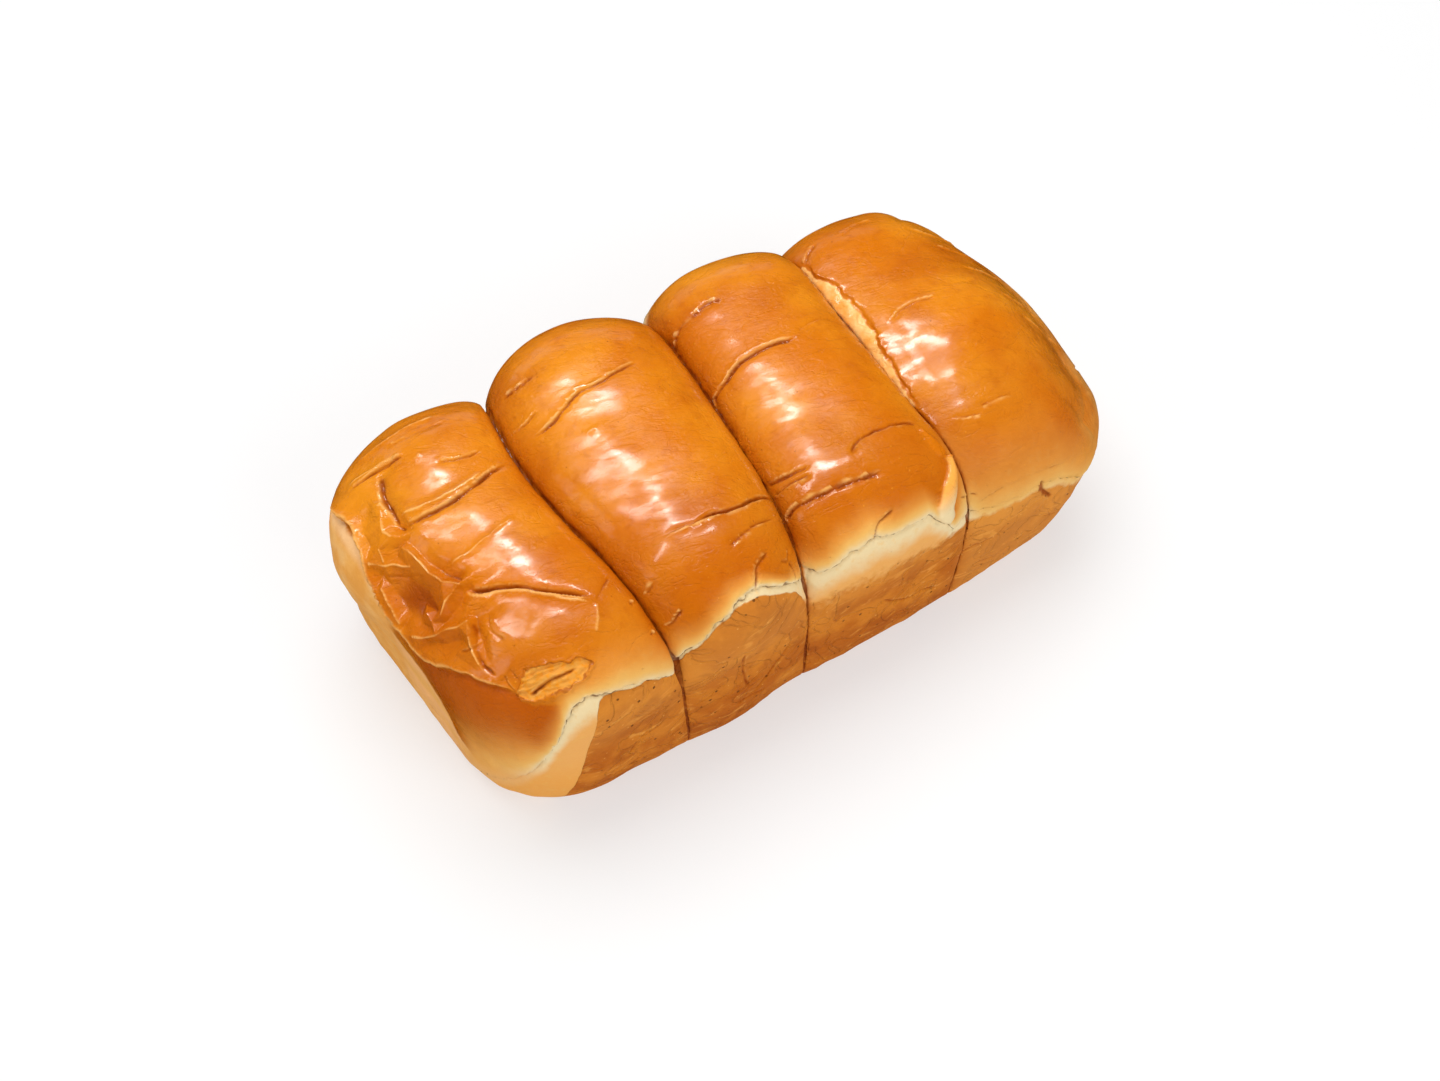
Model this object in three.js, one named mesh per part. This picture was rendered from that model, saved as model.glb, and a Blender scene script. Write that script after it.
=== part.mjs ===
// A tin loaf of soft milk bread, baked from four rolls of dough laid side by side across the tin.
// The rolls have grown into one piece, so the loaf is one closed solid with a flat base.
//
// Frame: millimetres, +Z up. X runs along the loaf, Y across it. The origin is on the base,
// in the middle of the loaf's outer box. -X is the slumped end, -Y the broad side with the open shred.
//
// The solid is a box whose surface is moved in steps: rounded like dough in a tin, swollen into
// four rolls with a valley between each two, then given its ends and its uneven swells.

import * as THREE from "three";
import { mergeVertices } from "three/addons/utils/BufferGeometryUtils.js";

// ---- driving dimensions, mm ----
const LEFT_END = -121.5; // where the end faces stand before they bulge
const RIGHT_END = 119;
const TIN_WIDTH = 120; // inside width of the tin
const RIM_HEIGHT = 44; // the dough above this rose free of the tin
const VALLEY_HEIGHT = 75.5; // top of the loaf along its valleys

// the rolls, from -X to +X
const ROLL_RISE = [11.2, 15.5, 13.2, 7.6]; // how far each roll stands above the valleys
const VALLEY_X = [-62.5, -3.2, 53.8]; // the valleys between them, at the middle of the loaf
const ROLL_FULLNESS = 2.5; // 2 is a round back, more is a broader and flatter one
const SHOULDER_FULLNESS = 1.9; // the same where a roll turns down to the tin
const WALL_SWELL = 2.6; // how far each roll's side stands out between its seams
const CROWN = 1.8; // extra height along the middle of the loaf
const END_SINK = { left: -2, right: -13 }; // the outer rolls fall away to their ends
const SKEW = [-0.06, -0.1, 0.07, 0.02, 0.03]; // how far the ends and valleys run off square, as slopes

// edges and corners, as radii
const CORNER_RADIUS = { left: 36, right: 31 }; // upright corners, seen from above
const BASE_EDGE = { in: 11.5, up: 13 }; // from the base into the walls
const SHOULDER = { left: 36, right: 31, sides: 24.5, up: 33 }; // from the walls into the crown

// ends that bulge at mid height and draw in towards the base
const BULGE = { left: 1, right: 7, height: 40, spread: 22, reach: 40 };
const DRAW_IN = { left: 3, right: 4 };

// places where the dough rose more, or less, than its neighbours: middle, radius and amount
const SWELLS = [
  { at: [-48.5, 58, 68], radius: 22, amount: -2 },
  { at: [-17.5, 48, 80], radius: 26, amount: 1.5 },
  { at: [-120.5, 30, 54], radius: 28, amount: 3.5 },
  { at: [119.5, -38, 36], radius: 26, amount: 1.5 },
  { at: [77.5, 48, 78], radius: 26, amount: 1.5 },
  { at: [119.5, 10, 62], radius: 30, amount: 1.5 },
];

// the facets: along the loaf, across it and up it
const SEGMENTS = { along: 64, across: 26, up: 14 };

// ---- small helpers ----
const clamp = THREE.MathUtils.clamp;
const smoothstep = (x, from, to) => {
  const t = clamp((x - from) / (to - from), 0, 1);
  return t * t * (3 - 2 * t);
};
const mix = (from, to, t) => from + (to - from) * t;

// Where a point of the box lies in the row of rolls. along runs from -1 to 1 over the whole loaf.
// across runs from -1 to 1 over one roll, with its points drawn towards the valleys, where the form is sharp.
function rollAt(along) {
  const place = (along + 1) * 2;
  const index = clamp(Math.floor(place + 1e-9), 0, ROLL_RISE.length - 1);
  const even = 2 * (place - index) - 1;
  return { index, across: 0.6 * Math.sin((even * Math.PI) / 2) + 0.4 * even };
}

// The valleys and ends as stations, and a value between the two stations beside a roll.
const STATIONS = [LEFT_END, ...VALLEY_X, RIGHT_END];
const betweenStations = (values, roll) =>
  mix(values[roll.index], values[roll.index + 1], (roll.across + 1) / 2);

// 1 along the middle of the loaf, 0 at its walls
const midline = (y) => Math.max(0, 1 - (y / (TIN_WIDTH / 2)) ** 2);

// ---- the dough, step by step ----

// A block with round corners in plan, a broad shoulder round its crown and a tighter edge round its base.
// inset is how far a point lies in from the walls, and rise how far from the nearer of base and crown.
function roundBlock(x, y, z) {
  const side = x < 0 ? "left" : "right";
  const radius = CORNER_RADIUS[side];
  const core = new THREE.Vector2(
    clamp(x, LEFT_END + radius, RIGHT_END - radius),
    clamp(y, radius - TIN_WIDTH / 2, TIN_WIDTH / 2 - radius),
  );
  const offset = new THREE.Vector2(x, y).sub(core);
  const inset = radius - Math.max(Math.abs(offset.x), Math.abs(offset.y));
  const outward = offset.normalize();
  const inCrown = z > VALLEY_HEIGHT / 2;
  const rise = inCrown ? VALLEY_HEIGHT - z : z;
  const edge = inCrown
    ? { in: mix(SHOULDER.sides, SHOULDER[side], outward.x ** 2), up: SHOULDER.up }
    : BASE_EDGE;
  const rounded = roundEdge(inset, rise, edge);
  const plan = outward.clone().multiplyScalar(radius - rounded.inset).add(core);
  const up = inCrown ? 1 : -1;
  return {
    point: new THREE.Vector3(plan.x, plan.y, inCrown ? VALLEY_HEIGHT - rounded.rise : rounded.rise),
    normal: new THREE.Vector3(
      outward.x * rounded.out,
      outward.y * rounded.out,
      up * rounded.up,
    ).normalize(),
  };
}

// The square edge between a wall and the base or crown, rounded to a quarter of an ellipse.
function roundEdge(inset, rise, edge) {
  const across = (edge.in - inset) / edge.in;
  const down = (edge.up - rise) / edge.up;
  if (across <= 0 || down <= 0) {
    const onWall = across > 0;
    return { inset, rise, out: onWall ? 1 : 0, up: onWall ? 0 : 1 };
  }
  const length = Math.hypot(across, down);
  return {
    inset: edge.in * (1 - across / length),
    rise: edge.up * (1 - down / length),
    out: across / edge.in,
    up: down / edge.up,
  };
}

// Each roll swells out from its two valleys. The outer rolls don't fall to a valley at the loaf's ends.
function swellRoll({ point, normal }, roll) {
  const upward = smoothstep(normal.z, 0, 0.8);
  const fullness = mix(SHOULDER_FULLNESS, ROLL_FULLNESS, smoothstep(normal.z, 0.4, 1));
  const outerHalf =
    (roll.index === 0 && roll.across < 0) ||
    (roll.index === ROLL_RISE.length - 1 && roll.across > 0);
  const swell = outerHalf ? 1 : Math.sqrt(Math.max(0, 1 - Math.abs(roll.across) ** fullness));
  const wall = WALL_SWELL * smoothstep(point.z, 4, 25) * (1 - upward);
  const lift = (ROLL_RISE[roll.index] * upward + wall) * swell;
  const sink = betweenStations([END_SINK.left, 0, 0, 0, END_SINK.right], roll);
  const crown = CROWN * midline(point.y);
  point.x += normal.x * lift * 0.35;
  point.y += normal.y * lift;
  point.z += normal.z * lift + (crown + sink) * upward;
}

// The end faces bulge at mid height and draw in towards the base.
function shapeEnds(point) {
  const below = Math.max(0, 1 - point.z / RIM_HEIGHT);
  const bulge = midline(point.y) * Math.exp(-(((point.z - BULGE.height) / BULGE.spread) ** 2));
  const left = smoothstep(point.x, LEFT_END + BULGE.reach, LEFT_END);
  const right = smoothstep(point.x, RIGHT_END - BULGE.reach, RIGHT_END);
  point.x -= left * (BULGE.left * bulge - DRAW_IN.left * below);
  point.x += right * (BULGE.right * bulge - DRAW_IN.right * below);
}

// The uneven swells fade out towards the base, which stays flat.
function addSwells({ point, normal }) {
  const above = smoothstep(point.z, 2, 20);
  const lift = SWELLS.reduce((sum, swell) => {
    const apart = point.distanceTo(new THREE.Vector3(...swell.at)) / swell.radius;
    return sum + swell.amount * Math.exp(-(apart ** 2));
  }, 0);
  point.addScaledVector(normal, lift * above);
}

// ---- the loaf's solid ----
function loafGeometry() {
  const geometry = new THREE.BoxGeometry(2, 2, 2, SEGMENTS.along, SEGMENTS.across, SEGMENTS.up);
  geometry.deleteAttribute("normal");
  geometry.deleteAttribute("uv");
  const merged = mergeVertices(geometry);
  const position = merged.attributes.position;
  for (let i = 0; i < position.count; i += 1) {
    const roll = rollAt(position.getX(i));
    const x = betweenStations(STATIONS, roll);
    const y = (position.getY(i) * TIN_WIDTH) / 2;
    const z = ((position.getZ(i) + 1) / 2) * VALLEY_HEIGHT;
    const dough = roundBlock(x, y, z);
    swellRoll(dough, roll);
    shapeEnds(dough.point);
    addSwells(dough);
    dough.point.x += betweenStations(SKEW, roll) * dough.point.y;
    position.setXYZ(i, dough.point.x, dough.point.y, dough.point.z);
  }
  // the origin is the middle of the base
  merged.computeBoundingBox();
  const middle = merged.boundingBox.getCenter(new THREE.Vector3());
  merged.translate(-middle.x, -middle.y, -merged.boundingBox.min.z);
  merged.computeVertexNormals();
  return merged;
}

const crust = new THREE.MeshStandardMaterial({ color: 0xd07a26, roughness: 0.35, metalness: 0 });
const loaf = new THREE.Mesh(loafGeometry(), crust);
loaf.name = "loaf";

const tinLoaf = new THREE.Group();
tinLoaf.add(loaf);

export default tinLoaf;
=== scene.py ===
import math

import bmesh
import bpy
import numpy as np
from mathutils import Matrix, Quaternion, Vector, noise
from mathutils.bvhtree import BVHTree
from mathutils.geometry import delaunay_2d_cdt


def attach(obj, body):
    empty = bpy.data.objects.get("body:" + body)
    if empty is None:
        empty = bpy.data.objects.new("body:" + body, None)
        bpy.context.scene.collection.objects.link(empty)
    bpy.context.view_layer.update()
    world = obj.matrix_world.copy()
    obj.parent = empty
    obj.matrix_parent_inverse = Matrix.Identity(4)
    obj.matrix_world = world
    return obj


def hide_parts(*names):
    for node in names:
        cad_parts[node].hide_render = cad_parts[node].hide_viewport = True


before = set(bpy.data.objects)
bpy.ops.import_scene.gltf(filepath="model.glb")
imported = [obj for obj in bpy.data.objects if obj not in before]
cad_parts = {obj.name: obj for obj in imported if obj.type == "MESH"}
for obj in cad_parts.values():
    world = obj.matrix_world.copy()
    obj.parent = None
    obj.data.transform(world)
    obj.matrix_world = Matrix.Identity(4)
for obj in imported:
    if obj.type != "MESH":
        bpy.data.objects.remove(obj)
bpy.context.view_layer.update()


# ---- The dough: four rolls proved side by side in one tin ----
# Soft enriched dough, shaped into four rolls and laid across a loaf tin. They grow into one another
# as they prove, so the loaf is one body: straight walls where the tin held it, four swollen backs above.
# All sizes are millimetres until the mesh is finished.

LEFT_END = -122.3
RIGHT_END = 116.1
TIN_WIDTH = 120.0
WAIST_HEIGHT = 44.0  # the loaf is widest here and draws in below
VALLEY_HEIGHT = 75.5

ROLL_RISE = np.array([11.0, 14.5, 12.1, 5.1])
VALLEY_X = np.array([-63.3, -0.8, 54.2])
SKEW = np.array([-0.056, -0.131, 0.085, 0.047, 0.0])  # how far the ends and valleys run off square
BACK_BEND = np.array([0.0, 13.1, -3.1, -1.3, 0.0])  # how far each valley swings at the back wall
FRONT_BEND = np.array([0.0, 2.3, -2.1, -0.1, 0.0])  # and at the front one
SEAM_LEAN = np.array([0.0, -3.0, -1.0, 3.0, 0.0])  # lean of each seam up the front wall
ROLL_FULLNESS = 2.5
SHOULDER_FULLNESS = 1.9
WALL_SWELL = 2.6
CROWN = -0.5
LEFT_SINK = -3.2
RIGHT_SINK = -17.3
RIGHT_SINK_CURVE = 2.5
SINK_FOOT = 28.0  # below this height the ends keep their place

LEFT_CORNER = 34.2
RIGHT_CORNER = 23.4
SIDE_SHOULDER = 24.9
SHOULDER_HEIGHT = 28.9
BASE_EDGE_IN = 11.5
BASE_EDGE_UP = 13.0

LEFT_BULGE = -2.6
RIGHT_BULGE = 8.1
BULGE_HEIGHT = 40.0
BULGE_SPREAD = 22.0
END_REACH = 40.0
LEFT_DRAW_IN = 2.9
RIGHT_DRAW_IN = 4.8

# where the dough rose more, or less, than its neighbours: middle, radius, amount
SWELLS = [
    ((84, -4, 80), 28, 2.4),
    ((97, -10, 75), 24, 4.5),
    ((-48.5, 58, 68), 22, -0.4),
    ((-17.5, 48, 80), 26, 0.6),
    ((-120.5, 30, 54), 28, 4.0),
    ((119.5, -38, 40), 26, 2.6),
    ((74, 50, 78), 24, 1.5),
    ((119.5, 8, 57), 30, 4.9),
    ((-95, 52, 68), 24, 0.4),
    ((108, 34, 60), 22, 0.8),
    ((25, 52, 76), 24, 0.6),
    ((120, -20, 45), 28, 0.2),
    ((-40, 57, 74), 25, 2.0),
    ((45, 55, 70), 16, -1.0),
    ((-10, 55, 72), 16, -2.5),
]
# where the foot of the walls stands out or draws in: place in plan, amount
FOOT = [
    ((-104, -52), -1.0), ((-78, -60), -1.6), ((-45, -60), 1.2), ((-12, -60), -1.2), ((40, -60), 0.5),
    ((85, -60), -1.0), ((108, -48), -3.3),
]
FOOT_RADIUS = 24.0
BOX_MIDDLE = np.array([-0.05, 0.26, 0.0])  # middle of the box that the moved block fills

CELLS_ALONG = 176
CELLS_ACROSS = 88
CELLS_UP = 38


def smoothstep(x, start, end):
    t = np.clip((x - start) / (end - start), 0.0, 1.0)
    return t * t * (3.0 - 2.0 * t)


def mix(a, b, t):
    return a + (b - a) * t


def midline(y):
    return np.clip(1.0 - (y / (TIN_WIDTH / 2)) ** 2, 0.0, 1.0)


def valley_shift(roll, between, point):
    """How far a point is carried along the loaf, because the valleys run skewed and bend at the walls."""
    def here(values):
        return mix(values[roll], values[roll + 1], between)

    to_back = np.clip(point[:, 1], 0.0, None) / (TIN_WIDTH / 2)
    to_front = np.clip(-point[:, 1], 0.0, None) / (TIN_WIDTH / 2)
    up_front = smoothstep(-point[:, 1], 15.0, 58.0) * smoothstep(point[:, 2], 0.0, 60.0)
    shift = here(SKEW) * point[:, 1] + here(BACK_BEND) * to_back ** 2 + here(FRONT_BEND) * to_front ** 2
    return shift + here(SEAM_LEAN) * up_front


def dough_surface(block):
    """Points of a cube's surface, from -1 to 1 each way, moved onto the loaf."""
    # which roll each point is on, with points drawn towards the valleys, where the form is sharp
    place = (block[:, 0] + 1.0) * 2.0
    roll = np.clip(np.floor(place + 1e-9).astype(int), 0, 3)
    even = 2.0 * (place - roll) - 1.0
    across = 0.6 * np.sin(even * math.pi / 2) + 0.4 * even
    between = (across + 1.0) / 2.0
    stations = np.array([LEFT_END, *VALLEY_X, RIGHT_END])
    x = mix(stations[roll], stations[roll + 1], between)
    y = block[:, 1] * TIN_WIDTH / 2
    z = (block[:, 2] + 1.0) / 2.0 * VALLEY_HEIGHT

    # a block with round corners in plan, a broad shoulder above and a tighter edge at the base
    at_left = x < 0
    corner = np.where(at_left, LEFT_CORNER, RIGHT_CORNER)
    core_x = np.clip(x, LEFT_END + corner, RIGHT_END - corner)
    core_y = np.clip(y, corner - TIN_WIDTH / 2, TIN_WIDTH / 2 - corner)
    off_x = x - core_x
    off_y = y - core_y
    reach = np.maximum(np.hypot(off_x, off_y), 1e-9)
    inset = corner - np.maximum(abs(off_x), abs(off_y))
    out_x = off_x / reach
    out_y = off_y / reach
    in_crown = z > VALLEY_HEIGHT / 2
    rise = np.where(in_crown, VALLEY_HEIGHT - z, z)
    edge_in = np.where(in_crown, mix(SIDE_SHOULDER, corner, out_x ** 2), BASE_EDGE_IN)
    edge_up = np.where(in_crown, SHOULDER_HEIGHT, BASE_EDGE_UP)
    part_in = np.clip((edge_in - inset) / edge_in, 0.0, 1.0)
    part_up = np.clip((edge_up - rise) / edge_up, 0.0, 1.0)
    length = np.maximum(np.hypot(part_in, part_up), 1e-9)
    flat = (part_in <= 0) | (part_up <= 0)
    wall = flat & (part_in > 0)
    inset = np.where(flat, inset, edge_in * (1.0 - part_in / length))
    rise = np.where(flat, rise, edge_up * (1.0 - part_up / length))
    out = np.where(flat, wall * 1.0, part_in / edge_in)
    up = np.where(flat, (~wall) * 1.0, part_up / edge_up) * np.where(in_crown, 1.0, -1.0)
    point = np.stack(
        [
            core_x + out_x * (corner - inset),
            core_y + out_y * (corner - inset),
            np.where(in_crown, VALLEY_HEIGHT - rise, rise),
        ],
        axis=1,
    )
    normal = np.stack([out_x * out, out_y * out, up], axis=1)
    normal /= np.maximum(np.linalg.norm(normal, axis=1, keepdims=True), 1e-9)

    # each roll swells out from its valleys
    upward = smoothstep(normal[:, 2], 0.0, 0.8)
    fullness = mix(SHOULDER_FULLNESS, ROLL_FULLNESS, smoothstep(normal[:, 2], 0.4, 1.0))
    swell = np.sqrt(np.clip(1.0 - abs(across) ** fullness, 0.0, 1.0))
    outer_half = ((roll == 0) & (across < 0)) | ((roll == 3) & (across > 0))
    swell = np.where(outer_half, 1.0, swell)
    wall_swell = WALL_SWELL * smoothstep(point[:, 2], 4.0, 25.0) * (1.0 - upward)
    lift = (ROLL_RISE[roll] * upward + wall_swell) * swell
    sink = np.where(roll == 0, LEFT_SINK * (1.0 - between), 0.0)
    sink = np.where(roll == 3, RIGHT_SINK * between ** RIGHT_SINK_CURVE, sink)
    sink_share = np.clip((point[:, 2] - SINK_FOOT) / (VALLEY_HEIGHT - SINK_FOOT), 0.0, 1.0)
    crown = CROWN * midline(point[:, 1])
    point[:, 0] += normal[:, 0] * lift * 0.35
    point[:, 1] += normal[:, 1] * lift
    point[:, 2] += normal[:, 2] * lift + crown * upward + sink * sink_share

    # the ends bulge at mid height and draw in towards the base
    below = np.clip(1.0 - point[:, 2] / WAIST_HEIGHT, 0.0, 1.0)
    bulge = midline(point[:, 1]) * np.exp(-(((point[:, 2] - BULGE_HEIGHT) / BULGE_SPREAD) ** 2))
    left = smoothstep(point[:, 0], LEFT_END + END_REACH, LEFT_END)
    right = smoothstep(point[:, 0], RIGHT_END - END_REACH, RIGHT_END)
    point[:, 0] -= left * (LEFT_BULGE * bulge - LEFT_DRAW_IN * below)
    point[:, 0] += right * (RIGHT_BULGE * bulge - RIGHT_DRAW_IN * below)

    # uneven swells, faded out towards the flat base
    above = smoothstep(point[:, 2], 2.0, 20.0)
    lift = sum(
        amount * np.exp(-np.sum((point - middle) ** 2, axis=1) / radius ** 2)
        for middle, radius, amount in SWELLS
    )
    point += normal * (lift * above)[:, None]

    # the foot of the walls wavers in plan
    foot = 1.0 - smoothstep(point[:, 2], 8.0, 45.0)
    shift = sum(
        amount * np.exp(-((point[:, 0] - x) ** 2 + (point[:, 1] - y) ** 2) / FOOT_RADIUS ** 2)
        for (x, y), amount in FOOT
    )
    shift = shift * foot * smoothstep(part_in, 0.0, 1.0)
    point[:, 0] += out_x * shift
    point[:, 1] += out_y * shift
    point[:, 0] += valley_shift(roll, between, point)
    return point - BOX_MIDDLE


def valley_gap(point):
    """How far a point lies along the loaf from the nearest valley, and which valley that is."""
    raw = point + BOX_MIDDLE
    start = np.zeros(len(point))
    gaps = np.stack(
        [
            raw[:, 0] - VALLEY_X[number] - valley_shift(np.full(len(point), number + 1), start, raw)
            for number in range(3)
        ],
        axis=1,
    )
    nearest = abs(gaps).argmin(axis=1)
    return gaps[np.arange(len(point)), nearest], nearest


def block_points(block):
    return np.array([vert.co for vert in block.verts])


block = bmesh.new()
bmesh.ops.create_cube(block, size=2.0)
for axis, cells in enumerate((CELLS_ALONG, CELLS_ACROSS, CELLS_UP)):
    edges = [
        edge
        for edge in block.edges
        if abs(edge.verts[0].co[axis] - edge.verts[1].co[axis]) > 1e-6
    ]
    bmesh.ops.subdivide_edges(block, edges=edges, cuts=cells - 1, use_grid_fill=True)


# ---- The folds: where the soft crust sank and creased as the loaf cooled ----
# A glossy skin of egg-washed crust over soft crumb. It settled in places after baking, so it carries
# long creases across the rolls, and a deep fold and a crumpled patch with sharp ridges on the end roll.
# A line is drawn flat and cast onto the dough from one side, or given as places that are moved onto it.

# where the rays start and which way they go, for a line drawn on each side
VIEWS = {
    "crown": (lambda a, b: (a, b, 160.0), (0, 0, -1)),
    "front": (lambda a, b: (a, -160.0, b), (0, 1, 0)),
    "back": (lambda a, b: (a, 160.0, b), (0, -1, 0)),
    "near": (lambda a, b: (-200.0, a, b), (1, 0, 0)),
    "far": (lambda a, b: (200.0, a, b), (-1, 0, 0)),
}


def fold(path, depth, width=0.6, left=0.0, right=0.0, view="crown"):
    """A sharp groove with a lip on either side."""
    return dict(path=path, view=view, depth=depth, width=width, left=left, right=right, height=0.0, reach=5.0)


def ridge(path, height, width, view="crown"):
    """A sharp ridge that falls away to either side within its width."""
    return dict(path=path, view=view, depth=0.0, width=width, left=0.0, right=0.0, height=height, reach=width)


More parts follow.
